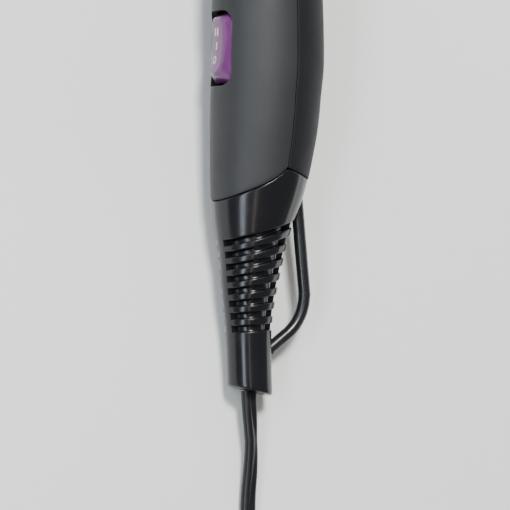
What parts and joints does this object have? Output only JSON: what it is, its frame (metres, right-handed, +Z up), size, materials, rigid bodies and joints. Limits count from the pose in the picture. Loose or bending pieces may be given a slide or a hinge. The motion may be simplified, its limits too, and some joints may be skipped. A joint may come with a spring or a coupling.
{
  "type": "travel hair dryer",
  "caption": "Folding travel hair dryer with a three-position rocker, slatted cord boot with a hanging loop, concentrator nozzle and flat twin lead.",
  "frame": {"origin": "under the middle of the dryer's box, on the table it lies on", "axes": "+Z up from the table, +Y from the boot's end to the barrel along the grip, +X from the nozzle to the rear intake"},
  "size_m": [0.213, 0.4084, 0.066],
  "materials": {
    "shell": "matte charcoal moulded plastic with a fine spark texture",
    "rear_shell": "matte near-black moulded plastic with a fine texture",
    "gloss_black": "glossy black moulded plastic",
    "black_inner": "plain black moulded plastic, unseen inside",
    "boot_black": "glossy black soft plastic",
    "rocker_purple": "tinted translucent purple plastic, glossy, with white printed marks",
    "steel": "zinc-plated steel",
    "grille_steel": "steel grille",
    "heating_wire": "nickel-chromium heating wire",
    "copper": "enamelled copper winding",
    "board": "green printed circuit board",
    "mica": "pressed mica sheet",
    "brass": "plain brass",
    "wire_sleeve": "soft wire insulation",
    "capacitor": "yellow film capacitor case",
    "cord_black": "soft black cord sheath",
    "tie_rubber": "black strap",
    "plug_metal": "nickel-plated brass pins"
  },
  "bodies": {
    "barrel": {"barrel_shell_left": "shell", "barrel_shell_right": "shell", "barrel_screws": "steel", "outlet_sleeve": "gloss_black", "outlet_grille": "grille_steel", "fan_housing": "black_inner", "motor_can": "steel", "motor_end_cap": "black_inner", "rectifier_board": "board", "mica_cross": "mica", "heater_coil": "heating_wire", "mica_tube": "mica", "thermostat": "steel", "thermal_fuse": "brass", "barrel_wires": "wire_sleeve"},
    "fan": {"motor_armature": "copper", "fan_impeller": "black_inner"},
    "rear_cover": {"intake_cover": "shell", "intake_filter": "grille_steel"},
    "nozzle": {"concentrator": "gloss_black"},
    "grip": {"handle_front_shell": "shell", "handle_rear_shell": "rear_shell", "hinge_pins": "steel", "hinge_caps": "gloss_black", "handle_screws": "steel", "switch_body": "black_inner", "switch_terminals": "brass", "suppressor_capacitor": "capacitor", "handle_wires": "wire_sleeve", "cord_boot": "boot_black", "hanging_loop": "boot_black", "cord_clamp": "gloss_black", "clamp_screws": "steel", "cord_inner": "cord_black", "cord_lead": "cord_black", "cord_coil": "cord_black", "cord_tail": "cord_black", "cord_tie": "tie_rubber", "plug_body": "cord_black", "plug_pins": "plug_metal"},
    "rocker": {"rocker_switch": "rocker_purple"}
  },
  "joints": [
    {"name": "handle_fold", "type": "hinge", "parent": "barrel", "child": "grip", "pos_m": [0.028, 0.0387, 0.02656], "axis": [0, 0.1129, -0.9936], "range_deg": [0, 90]},
    {"name": "rocker_tilt", "type": "hinge", "parent": "grip", "child": "rocker", "pos_m": [0.0175, -0.00482, 0.02162], "axis": [0, 0.1129, -0.9936], "range_deg": [-8, 8]},
    {"name": "fan_spin", "type": "hinge", "parent": "barrel", "child": "fan", "pos_m": [0.066, 0.09534, 0.033], "axis": [-1, 0, 0], "continuous": true},
    {"name": "nozzle_swivel", "type": "hinge", "parent": "barrel", "child": "nozzle", "pos_m": [-0.05, 0.09534, 0.033], "axis": [-1, 0, 0], "continuous": true},
    {"name": "cover_twist", "type": "hinge", "parent": "barrel", "child": "rear_cover", "pos_m": [0.078, 0.09534, 0.033], "axis": [-1, 0, 0], "range_deg": [0, 15]}
  ]
}
